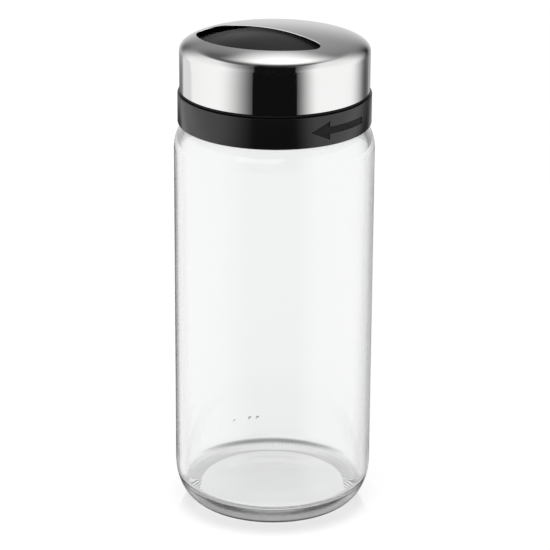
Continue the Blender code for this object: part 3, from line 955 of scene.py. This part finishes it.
@dataclass
class Collar:
    """The black collar with its skirt, threaded sleeve, flange and spigot."""

    jar: GlassJar
    radius: float = field(default_factory=lambda: outer_radius("threaded_collar"))
    bottom: float = field(default_factory=lambda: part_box("threaded_collar")[0].z)
    upstand_top: float = field(default_factory=lambda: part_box("threaded_collar")[1].z)
    spigot: float = field(default_factory=lambda: outer_radius("shaker_dome"))
    segments: int = 192
    skirt_wall: float = 0.0016
    skirt_height: float = 0.0102
    sleeve_wall: float = 0.00215
    sleeve_depth: float = 0.0120
    flange: float = 0.0012
    upstand_height: float = 0.0014
    upstand_wall: float = 0.0013
    snap_depth: float = 0.0005
    snap_rise: float = 0.00075
    snap_slope: float = 0.00035
    foot_wall: float = 0.0012
    web: float = 0.0015
    edge: float = 0.0004
    groove_rise: float = 0.0018
    groove_width: float = 0.0016
    groove_depth: float = 0.0008
    slot_depth: float = 0.0009
    lug_width: float = 0.0040
    lug_height: float = 0.0022
    lug_deg: float = 60.0
    cap_turn_deg: float = 180.0
    arrow_tip_deg: float = -68.1
    arrow_length: float = 0.0225
    head_length: float = 0.0066
    head_width: float = 0.0062
    shaft_width: float = 0.0024
    arrow_depth: float = 0.0003
    tip_share: float = 0.04
    barb_share: float = 0.9
    arrow_steps: tuple[int, int] = (24, 10)
    slot_steps: int = 90

    @property
    def top(self) -> float:
        """Height of the visible upper face."""
        return self.bottom + self.skirt_height

    @property
    def flange_top(self) -> float:
        """Height of the flange's upper face."""
        return self.upstand_top - self.upstand_height

    @property
    def middle(self) -> float:
        """Height of the arrow."""
        return (self.bottom + self.top) / 2

    @property
    def lug_bottom(self) -> float:
        """Height of the lower face of the cap's stop lug."""
        return self.flange_top - GAP - self.lug_height

    def section(self) -> Section:
        """The collar's section, from the flange's inner edge over the top and down the skirt.

        Returns:
            The section, all but its last run.
        """
        mouth, fine = self.jar.mouth, self.edge / 4
        snap = self.spigot - self.foot_wall - GAP
        upstand = snap - self.snap_depth
        sleeve = self.spigot - self.sleeve_wall
        groove = self.top + self.groove_rise
        groove_floor = self.spigot - self.groove_depth
        bore = self.radius - self.skirt_wall
        drawn = Section(mouth, self.flange_top - self.flange / 2)
        drawn.line(mouth, self.flange_top, fine)
        drawn.line(upstand - self.upstand_wall, self.flange_top)
        drawn.line(upstand - self.upstand_wall, self.upstand_top, fine)
        drawn.line(upstand, self.upstand_top, fine)
        drawn.line(snap, self.flange_top + self.snap_rise + self.snap_slope, fine)
        drawn.line(upstand, self.flange_top + self.snap_rise)
        drawn.line(upstand, self.flange_top)
        drawn.line(self.spigot, self.flange_top, fine)
        drawn.line(self.spigot, groove + self.groove_width, fine)
        drawn.line(groove_floor, groove + self.groove_width)
        drawn.line(groove_floor, groove)
        drawn.line(self.spigot, groove, fine)
        drawn.line(self.spigot, self.top)
        drawn.line(self.radius, self.top, self.edge)
        drawn.line(self.radius, self.middle)
        drawn.line(self.radius, self.bottom, self.edge)
        drawn.line(bore, self.bottom, fine)
        drawn.line(bore, self.top - self.web, self.edge)
        drawn.line(self.spigot, self.top - self.web)
        drawn.line(self.spigot, self.jar.rim - self.sleeve_depth, fine)
        drawn.line(sleeve, self.jar.rim - self.sleeve_depth, fine)
        drawn.run(sleeve, self.flange_top - self.flange, self.jar.row)
        drawn.line(mouth, self.flange_top - self.flange, fine)
        return drawn

    def arrow(self) -> list[BMesh]:
        """Cutters for the arrow's shaft and its head.

        Returns:
            The shaft's cutter and the head's.
        """
        per_length = math.degrees(1 / self.radius)
        floor, outside = self.radius - self.arrow_depth, self.radius + OVERRUN
        head_sweep = self.head_length * per_length
        taken = head_sweep * self.barb_share
        shaft_sweep = self.arrow_length * per_length - taken
        shaft, head = (
            swept_box((floor, self.middle - half), (outside, self.middle + half), start, sweep, steps)
            for half, start, sweep, steps in (
                (self.shaft_width / 2, self.arrow_tip_deg + taken, shaft_sweep, self.arrow_steps[0]),
                (self.head_width / 2, self.arrow_tip_deg, head_sweep, self.arrow_steps[1]),
            )
        )
        for vert in head.verts:
            along = (math.degrees(math.atan2(vert.co.y, vert.co.x)) - self.arrow_tip_deg) / head_sweep
            width = self.tip_share + (1 - self.tip_share) * along
            vert.co.z = self.middle + (vert.co.z - self.middle) * width
        return [shaft, head]

    def build(self) -> None:
        """Builds the collar and dresses it."""
        bm = self.section().turn(self.segments)
        thread = self.jar.thread
        thread_middle = self.jar.rim - thread.drop - thread.nut_drop()
        thread.raise_on(bm, self.spigot - self.sleeve_wall, thread_middle, -1)
        collar = to_object("screw_collar", bm)
        spare = math.degrees((self.lug_width / 2 + GAP) / self.spigot)
        stop_slot = swept_box(
            (self.spigot - self.slot_depth, self.lug_bottom - GAP),
            (self.spigot + OVERRUN, self.flange_top + OVERRUN),
            self.lug_deg - self.cap_turn_deg - spare,
            self.cap_turn_deg + 2 * spare,
            self.slot_steps,
        )
        cut(collar, [*self.arrow(), stop_slot])
        finish = GlossPlastic(self.radius, self.arrow_depth, self.middle, self.head_width / 2)
        finish_piece(collar, finish.make(), Body.COLLAR, "threaded_collar")


@dataclass
class Dome:
    """The sprinkling dome: one half plain, the other with rows of holes."""

    collar: Collar
    radius: float = field(default_factory=lambda: outer_radius("shaker_dome"))
    foot: float = field(default_factory=lambda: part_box("shaker_dome")[0].z)
    top: float = field(default_factory=lambda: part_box("shaker_dome")[1].z)
    segments: int = 160
    wall: float = 0.0014
    crown_radius: float = 0.0783
    shoulder: float = 0.0027
    ring_radius: float = 0.0007
    shelf: float = 0.0008
    lip: float = 0.0007
    snap_lip: float = 0.00015
    hole_radius: float = 0.0016
    hole_pitch: float = 0.0044
    row_pitch: float = 0.0042
    first_row: float = 0.0086
    row_holes: tuple[int, ...] = (7, 6, 5)
    facing_deg: float = 50.0
    leaf_centre: Point = (0.0009, 0.0092)
    fine: float = 0.0001
    crown_steps: tuple[int, int] = (30, 20)
    shoulder_steps: int = 12
    hole_sides: int = 28

    @property
    def shelf_height(self) -> float:
        """Height of the face over the collar's upstand."""
        return self.collar.upstand_top + GAP

    @property
    def groove(self) -> float:
        """Height of the O-ring groove's lower face."""
        return self.shelf_height + self.shelf

    @property
    def groove_width(self) -> float:
        """Height of the O-ring's groove."""
        return 2 * (self.ring_radius + GAP)

    def section(self) -> Section:
        """The dome's section, from the middle of its crown round to the middle underneath.

        Returns:
            The open section.
        """
        edge = self.radius - self.shoulder
        angle = math.degrees(math.asin(edge / self.crown_radius))
        slope = math.tan(math.radians(angle))
        land = self.groove + self.groove_width + self.lip
        snap = self.collar.spigot - self.collar.foot_wall
        upstand = snap - self.collar.snap_depth
        inner = upstand - GAP - self.collar.upstand_wall
        drawn = Section(0, self.top)
        drawn.arc((0, self.top - self.crown_radius), -angle, self.crown_steps[0])
        height = drawn.tip.co.z
        bend = (edge + PULL * self.shoulder, height - PULL * self.shoulder * slope)
        lower_bend = (self.radius, land + PULL * (height - land))
        drawn.curve(bend, lower_bend, (self.radius, land), self.shoulder_steps)
        drawn.line(self.radius, self.groove + self.groove_width, self.fine)
        floor = self.radius - 2 * self.ring_radius - GAP
        drawn.line(floor, self.groove + self.groove_width)
        drawn.line(floor, self.groove)
        drawn.line(self.radius, self.groove, self.fine)
        drawn.line(self.radius, self.foot, self.fine)
        drawn.line(upstand, self.foot)
        drawn.line(upstand, self.foot + self.snap_lip)
        drawn.line(snap, self.foot + self.snap_lip + self.collar.snap_slope)
        drawn.line(snap, self.shelf_height)
        drawn.line(inner, self.shelf_height, self.fine)
        under_top, under_radius = self.top - self.wall, self.crown_radius - self.wall
        under_angle = math.degrees(math.asin(inner / under_radius))
        drawn.line(inner, under_top - under_radius * (1 - math.cos(math.radians(under_angle))))
        return drawn.arc((0, under_top - under_radius), under_angle, self.crown_steps[1])

    def holes(self) -> BMesh:
        """Upright cutters for the rows of holes.

        Returns:
            The cutters, in one bmesh.
        """
        facing = math.radians(self.facing_deg)
        outward = Vector((math.cos(facing), math.sin(facing), 0))
        along = Vector((outward.y, -outward.x, 0))
        middle = -(Vector((*self.leaf_centre, 0)).dot(along))
        radius, depth = self.hole_radius, self.top - self.foot
        bm = bmesh.new()
        for row, count in enumerate(self.row_holes):
            for index in range(count):
                made = bmesh.ops.create_cone(
                    bm, cap_ends=True, segments=self.hole_sides, radius1=radius, radius2=radius, depth=depth
                )
                side = middle + (index - (count - 1) / 2) * self.hole_pitch
                out = self.first_row + row * self.row_pitch
                place = along * side + outward * out + Vector((0, 0, self.top))
                bmesh.ops.translate(bm, verts=made["verts"], vec=place)
        return bm

    def build(self) -> None:
        """Builds the dome and dresses it."""
        dome = to_object("sprinkling_dome", self.section().turn(self.segments, closed=False))
        cut(dome, [self.holes()])
        finish_piece(dome, SatinPlastic("satin_black_plastic").make(), Body.COLLAR, "shaker_dome")


@dataclass
class TurnRing:
    """The O-ring in the dome's groove."""

    dome: Dome
    segments: int = 128
    cord_sides: int = 24

    def build(self) -> None:
        """Builds the ring and dresses it."""
        cord = self.dome.ring_radius
        centre = (self.dome.radius - cord, self.dome.groove + self.dome.groove_width / 2)
        drawn = Section(centre[0] + cord, centre[1])
        drawn.arc(centre, 360 - 360 / self.cord_sides, self.cord_sides - 1)
        ring = to_object("turn_o_ring", drawn.turn(self.segments))
        finish = Silicone("black_rubber", (0.024, 0.024, 0.024), (0.045, 0.045, 0.045))
        finish_piece(ring, finish.make(), Body.COLLAR, "turn_ring")


@dataclass
class CapCarrier:
    """The black ring inside the steel, with the snap bead and the stop lug."""

    collar: Collar
    lip_radius: float = field(default_factory=lambda: outer_radius("cap_carrier"))
    bottom: float = field(default_factory=lambda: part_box("cap_carrier")[0].z)
    top: float = field(default_factory=lambda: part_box("cap_carrier")[1].z)
    segments: int = 160
    wall: float = 0.0012
    lip: float = 0.0005
    chamfer: float = 0.0003
    bead_depth: float = 0.00075
    bead_slope: float = 0.0002
    lug_steps: int = 8

    def build(self) -> None:
        """Builds the carrier and dresses it."""
        collar = self.collar
        inner = collar.spigot + GAP
        outer = inner + self.wall
        low = collar.top + collar.groove_rise + GAP
        high = low + collar.groove_width - 2 * GAP
        tip = inner - self.bead_depth
        drawn = Section(inner, (high + self.top) / 2)
        drawn.line(inner, self.top, self.chamfer / 3)
        drawn.line(outer, self.top, self.chamfer)
        drawn.line(outer, self.bottom + self.lip)
        drawn.line(self.lip_radius, self.bottom + self.lip, self.lip / 5)
        drawn.line(self.lip_radius, self.bottom, self.lip / 5)
        drawn.line(inner, self.bottom, self.chamfer / 2)
        drawn.line(inner, low)
        drawn.line(tip, low + self.bead_slope)
        drawn.line(tip, high - self.bead_slope)
        drawn.line(inner, high)
        carrier = to_object("cap_snap_ring", drawn.turn(self.segments))
        half = math.degrees(collar.lug_width / 2 / collar.spigot)
        lug = swept_box(
            (collar.spigot - collar.slot_depth + GAP, collar.lug_bottom),
            (inner + self.wall / 2, collar.lug_bottom + collar.lug_height),
            collar.lug_deg - half,
            2 * half,
            self.lug_steps,
        )
        cut(carrier, [lug], "UNION")
        finish = SatinPlastic("matt_black_plastic", (0.014, 0.014, 0.015), roughness=0.45)
        finish_piece(carrier, finish.make(), Body.CAP, "cap_carrier")


@dataclass
class CapShell:
    """The drawn steel cap with its leaf-shaped opening."""

    dome: Dome
    radius: float = field(default_factory=lambda: outer_radius("cap_shell"))
    bottom: float = field(default_factory=lambda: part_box("cap_shell")[0].z)
    segments: int = 192
    wall: float = 0.0003
    over_dome: float = 0.0006
    crown_edge: float = 0.0230
    crown_rise: float = 0.0020
    edge_drop: float = 0.0036
    front_radius: float = 0.0268
    back_radius: float = 0.0909
    back_reach: float = 0.0037
    left_tip: float = 0.0080
    right_tip: float = 0.0045
    lip: float = 0.00016
    wall_row: float = 0.004
    crown_steps: int = 36
    edge_steps: int = 24
    leaf_steps: tuple[int, int] = (96, 64)
    tip_steps: int = 20
    lip_steps: int = 3

    @property
    def top(self) -> float:
        """Height of the crown's middle, before the opening is cut."""
        return self.dome.top + self.over_dome + self.wall

    @property
    def wall_top(self) -> float:
        """Where the upright wall ends."""
        return self.top - self.crown_rise - self.edge_drop

    def side(self, drawn: Section, radius: float, top: float) -> Section:
        """Draws the crown from the axis, then the rounded edge down to the wall.

        Args:
            drawn: The section, with its tip on the axis.
            radius: The wall's radius.
            top: The crown's height on the axis.

        Returns:
            The section.
        """
        ball = (self.crown_edge**2 + self.crown_rise**2) / (2 * self.crown_rise)
        angle = math.degrees(math.asin(self.crown_edge / ball))
        drawn.arc((0, top - ball), -angle, self.crown_steps)
        start = drawn.tip.co.copy()
        width, slope = radius - start.x, math.tan(math.radians(angle))
        length = math.hypot(1, slope)
        bend = (start.x + PULL * width / length, start.z - PULL * width * slope / length)
        lower_bend = (radius, self.wall_top + PULL * (start.z - self.wall_top))
        return drawn.curve(bend, lower_bend, (radius, self.wall_top), self.edge_steps)

    def closed_sheet(self) -> BMesh:
        """The cap before its opening is cut.

        Returns:
            The turned sheet.
        """
        drawn = self.side(Section(0, self.top), self.radius, self.top)
        drawn.run(self.radius, self.bottom, self.wall_row)
        drawn.line(self.radius - self.wall, self.bottom)
        inner = self.side(Section(0, self.top - self.wall), self.radius - self.wall, self.top - self.wall)
        for vert in reversed([v.co.copy() for v in inner.bm.verts]):
            drawn.line(vert.x, vert.z)
        inner.bm.free()
        return drawn.turn(self.segments, closed=False)

    def outline(self) -> BMesh:
        """The middle of the opening's rolled lip in plan: two arcs that meet in rounded tips.

        Returns:
            The closed run of edges, flat, below the crown.
        """
        facing = math.radians(self.dome.facing_deg)
        away = self.back_radius - self.back_reach
        front = Vector(self.dome.leaf_centre)
        back = Vector((-away * math.cos(facing), -away * math.sin(facing)))
        across = front - back
        unit = across.normalized()
        normal = Vector((-unit.y, unit.x))
        base = self.wall_top - OVERRUN
        tips = []
        for rounding, side in ((self.left_tip, 1), (self.right_tip, -1)):
            to_front, to_back = self.front_radius - rounding, self.back_radius - rounding
            along = (to_back**2 - to_front**2 + across.length_squared) / (2 * across.length)
            off = side * math.sqrt(to_back**2 - along**2)
            tips.append(back + unit * along + normal * off)
        left, right = tips
        start = front + (left - front).normalized() * (self.front_radius + self.lip)
        bm = bmesh.new()
        tip = bm.verts.new((*start, base))
        stops = (
            (front, left - front, right - front, self.leaf_steps[0]),
            (right, right - front, right - back, self.tip_steps),
            (back, right - back, left - back, self.leaf_steps[1]),
            (left, left - back, left - front, self.tip_steps),
        )
        for centre, first, last, steps in stops:
            turn = (math.atan2(last.y, last.x) - math.atan2(first.y, first.x)) % math.tau
            spun = bmesh.ops.spin(bm, geom=[tip], cent=(*centre, base), axis=UP, angle=turn, steps=steps)
            tip = next(item for item in spun["geom_last"] if isinstance(item, BMVert))
        bmesh.ops.remove_doubles(bm, verts=bm.verts, dist=WELD * 5)
        return bm

    def leaf(self) -> BMesh:
        """An upright prism that cuts the opening.

        Returns:
            The prism.
        """
        bm = self.outline()
        face = bmesh.ops.contextual_create(bm, geom=bm.edges[:])["faces"]
        raised = bmesh.ops.extrude_face_region(bm, geom=face, use_keep_orig=True)
        moved = [item for item in raised["geom"] if isinstance(item, BMVert)]
        bmesh.ops.translate(bm, verts=moved, vec=(0, 0, self.top + 2 * OVERRUN - self.wall_top))
        bmesh.ops.recalc_face_normals(bm, faces=bm.faces)
        return bm

    def rolled_lip(self) -> Object:
        """The smooth lip that the sheet's edge is rolled into, all round the opening.

        Returns:
            The lip as a bevelled curve.
        """
        drawn = self.side(Section(0, self.top), self.radius, self.top)
        faces = [(low.co.copy(), high.co.copy()) for low, high in (edge.verts for edge in drawn.bm.edges)]
        drawn.bm.free()
        bm = self.outline()
        places = in_order(bm)
        bm.free()
        data = bpy.data.curves.new("rolled_lip", "CURVE")
        data.dimensions = "3D"
        data.bevel_depth, data.bevel_resolution = self.lip, self.lip_steps
        spline = data.splines.new("POLY")
        spline.points.add(len(places) - 1)
        spline.use_cyclic_u = True
        for point, place in zip(spline.points, places):
            radius = math.hypot(place.x, place.y)
            low, high = next(ends for ends in faces if ends[0].x <= radius <= ends[1].x)
            height = low.lerp(high, (radius - low.x) / (high.x - low.x)).z
            point.co = (place.x, place.y, height - self.lip, 1.0)
        return add_object("rolled_lip", data)

    def build(self) -> None:
        """Builds the cap and dresses it."""
        shell = to_object("steel_cap", self.closed_sheet())
        cut(shell, [self.leaf()])
        add_curve(shell, self.rolled_lip())
        finish_piece(shell, PolishedSteel().make(), Body.CAP, "cap_shell")


# Studio


@dataclass(frozen=True)
class Viewpoint:
    """The camera of the photograph, found from the jar's outline in its 550 pixel frame."""

    frame_px: float = 550.0
    focal_px: float = 2764.45
    pitch_deg: float = 20.523
    roll_deg: float = 0.35
    distance: float = 0.924
    target: Triple = (0.00045, 0.0, 0.07902)

    def build(self) -> None:
        """Adds the camera and makes it the scene's."""
        data = bpy.data.cameras.new("camera")
        data.sensor_fit = "HORIZONTAL"
        data.lens = data.sensor_width * self.focal_px / self.frame_px
        data.clip_start, data.clip_end = 0.01, 50.0
        camera = add_object("camera", data)
        pitch = math.radians(self.pitch_deg)
        forward = Vector((0, math.cos(pitch), -math.sin(pitch)))
        rolled = Matrix.Rotation(math.radians(self.roll_deg), 4, "Z")
        look = Matrix.Rotation(math.pi / 2 - pitch, 4, "X") @ rolled
        camera.matrix_world = Matrix.Translation(Vector(self.target) - forward * self.distance) @ look
        bpy.context.scene.camera = camera


@dataclass(frozen=True)
class Patch:
    """A soft-edged oval of light or dark in the studio behind the jar, placed in degrees."""

    name: str
    turned: float
    elevation: float
    wide: float
    high: float
    soft: float
    light: float
    runs_down: bool = False
    softer_below: float = 0.0
    slope: float = 0.0

    def lay(self, graph: Graph, seen: Value, turned: Value, elevation: Value) -> Value:
        """Lays the patch over the studio.

        Args:
            graph: The world's graph.
            seen: The studio's brightness so far.
            turned: How far a direction is turned from straight behind, to the right.
            elevation: Its elevation.

        Returns:
            The studio's brightness with the patch.
        """
        across = (turned - self.turned) / self.wide
        upward = (elevation - self.elevation - turned * self.slope) / self.high
        soft = (upward * -1.0).over(0.0) * self.softer_below + self.soft
        if self.runs_down:
            upward = upward.at_least(0.0)
        mask = ((graph.reach(across, upward) - 1.0) / soft).rise(1.0, -1.0)
        return seen * (1.0 - mask) + mask * self.light


@dataclass(frozen=True)
class Studio:
    """A pale floor, a white backdrop and soft light. Gloss shows softboxes and dark flags around the jar.

    The gap is the black strip between the two softboxes: it starts gap_deg to each side of the front, narrows
    overhead and is closed behind. Left and right fade say how softly its sides brighten. The patches lie over
    what gloss shows behind the jar. Contact is a painted shadow where the foot meets the floor: a ring, in
    pairs of radii, where the floor's glow is dimmed as seen through the glass.
    """

    level: float = 0.85
    brightest: float = 1.154
    darkest: float = 0.006
    dimmer_behind: float = 0.158
    behind_deg: Point = (95.0, 25.0)
    haze: float = 0.38
    gap_deg: float = 25.4
    gap_soft: Point = (-0.2, 1.0)
    gap_closes: float = 0.2
    gap_closes_over: float = 26.0
    left_fade_deg: float = 42.0
    right_fade_deg: float = 26.0
    least_fade: float = 0.1
    no_fade_over: float = 158.0
    closed_deg: Point = (127.0, 150.0)
    floor_size: float = 8.0
    floor_drop: float = 0.0001
    floor_share: float = 0.13
    floor_glow: float = 0.9
    mirror_share: float = 0.2
    mirror_near: float = 0.030
    mirror_far: float = 0.038
    # painted shadow: how far the floor's glow dims in the ring behind the foot, seen through the glass
    painted_contact_shadow: float = 0.75
    contact: tuple[Point, Point] = ((0.0295, 0.0325), (0.0400, 0.0355))
    contact_behind: Point = (0.023, 0.033)
    lamp_place: Triple = (-0.25, -0.55, 1.0)
    lamp_aim: Triple = (0.0, 0.0, 0.1)
    lamp_size: Point = (0.9, 0.7)
    lamp_watts: float = 3.0
    patches: tuple[Patch, ...] = (
        Patch("arch", 8.9, 0, 47.9, 34.1, 0.465, 0.006, True, slope=-0.064),
        Patch("wall", 1.3, 0, 14, 38, 0.717, 0.412, True),
        Patch("window", -1.5, -2, 27.5, 11.5, 0.9, 0.73, True),
        Patch("left_edge", -11.6, 36, 6.3, 14.4, 0.383, 0.126, slope=-0.413),
        Patch("right_edge", 10.7, 41.6, 4.9, 13.4, 0.845, 0.082, slope=0.262),
        Patch("below", 0, -26, 60, 11, 0.25, 0.07),
        Patch("ground", 0, -90, 400, 54, 0.1, 0.85),
        Patch("low_left", -47, -20, 14, 9, 0.25, 0.85),
        Patch("low_right", 16, -20, 12, 9, 0.25, 0.42),
        Patch("card", 2.0, 40.4, 9.1, 6.4, 0.733, 1.5, softer_below=0.04),
    )

    def surroundings(self, graph: Graph) -> Value:
        """What gloss and glass show: a softbox on either side, black between them, and the room behind.

        Args:
            graph: The world's graph.

        Returns:
            The brightness by direction.
        """
        x, y, z = graph.split(graph.node("ShaderNodeTexCoord").outputs["Generated"])
        degree = 180 / math.pi
        side = graph.math("ARCSINE", x).size() * degree
        over = graph.math("ARCTAN2", z, y * -1.0) * degree
        over = graph.math("FLOORED_MODULO", over + 90.0, 360.0) - 90.0
        turned = graph.math("ARCTAN2", x, y) * degree
        elevation = graph.math("ARCSINE", z) * degree
        raised = over.at_least(0.0)
        fade = x.over(0.0) * (self.right_fade_deg - self.left_fade_deg) + self.left_fade_deg
        share = raised / self.no_fade_over
        fade = fade * (1.0 - share * share).at_least(self.least_fade)
        narrower = (raised - self.gap_closes_over).at_least(0.0) * self.gap_closes
        from_edge = side - (self.gap_deg - narrower)
        closed = over.rise(*self.closed_deg)
        lit = (from_edge / fade).rise(*self.gap_soft) * from_edge.over(0.0) * (1.0 - closed) + closed
        dimmer = turned.size().rise(*self.behind_deg) * self.dimmer_behind
        seen = lit * (self.brightest - dimmer) + self.darkest
        for patch in self.patches:
            seen = patch.lay(graph, seen, turned, elevation)
        return seen

    def world(self) -> None:
        """White to the camera, the studio to gloss and glass, and one plain level to the rest."""
        world = bpy.data.worlds.new("studio")
        bpy.context.scene.world = world
        world.use_nodes = True
        graph = Graph(world.node_tree)
        camera, glossy, through, mirrored = graph.rays("Camera", "Glossy", "Transmission", "Singular")
        seen = glossy.at_least(through) - through * self.haze
        shown = seen * self.surroundings(graph) + (1.0 - seen) * self.level
        plain = camera.at_least(mirrored)
        strength = plain + (1.0 - plain) * shown
        background = graph.node("ShaderNodeBackground", sockets={"Strength": strength, "Color": (1, 1, 1, 1)})
        graph.node("ShaderNodeOutputWorld", sockets={"Surface": background.outputs["Background"]})

    def floor(self) -> None:
        """A white floor that keeps a faint shadow, and a mirror image close to the jar.

        Seen through the glass, it has a painted shadow: a ring behind the foot where its glow is dimmed.
        """
        bm = bmesh.new()
        bmesh.ops.create_grid(bm, x_segments=8, y_segments=8, size=self.floor_size / 2)
        bmesh.ops.translate(bm, verts=bm.verts, vec=(0, 0, -self.floor_drop))
        plane = to_object("floor", bm)
        material, graph = material_graph("white_floor")
        camera, through = graph.rays("Camera", "Transmission")
        direct = camera.at_least(through)
        matt = graph.node("ShaderNodeBsdfDiffuse", sockets={"Color": (*[self.floor_share] * 3, 1)})
        x, y, _ = graph.place()
        out = graph.reach(x, y)
        # Painted shadow: a ring round the foot, behind it, where the floor's glow is dimmed for rays seen
        # through the glass
        ring = out.rise(*self.contact[0]) * out.rise(*self.contact[1]) * y.rise(*self.contact_behind)
        shaded = 1.0 - through * ring * self.painted_contact_shadow
        fill = graph.node("ShaderNodeEmission", sockets={"Strength": direct * shaded * self.floor_glow})
        lit = graph.node("ShaderNodeAddShader", sockets={0: matt.outputs[0], 1: fill.outputs[0]})
        gloss = graph.node("ShaderNodeBsdfGlossy", sockets={"Roughness": 0.0})
        share = camera * out.rise(self.mirror_far, self.mirror_near) * self.mirror_share
        mixed = graph.node("ShaderNodeMixShader", sockets={0: share, 1: lit.outputs[0], 2: gloss.outputs[0]})
        graph.node("ShaderNodeOutputMaterial", sockets={"Surface": mixed.outputs[0]})
        plane.data.materials.append(material)
        plane.visible_glossy = False

    def lamps(self) -> None:
        """One large soft lamp over the front of the jar, which gloss doesn't show."""
        data = bpy.data.lights.new("soft_key", "AREA")
        data.shape = "RECTANGLE"
        data.size, data.size_y = self.lamp_size
        data.energy = self.lamp_watts
        lamp = add_object("soft_key", data)
        lamp.location = self.lamp_place
        aim = Vector(self.lamp_aim) - lamp.location
        lamp.rotation_euler = aim.to_track_quat("-Z", "Y").to_euler()
        lamp.visible_glossy = False

    def build(self) -> None:
        """Builds the world, the floor and the lamp."""
        self.world()
        self.floor()
        self.lamps()
        bpy.context.scene.view_settings.view_transform = "Standard"


def main() -> None:
    """Builds the jar piece by piece, then the studio round it."""
    logging.basicConfig(level=logging.INFO, format="%(name)s %(message)s")
    Viewpoint().build()
    jar = GlassJar(Thread())
    collar = Collar(jar)
    dome = Dome(collar)
    for piece in (jar, RimSeal(jar), collar, dome, TurnRing(dome), CapCarrier(collar), CapShell(dome)):
        piece.build()
    Studio().build()


if __name__ == "__main__":
    main()
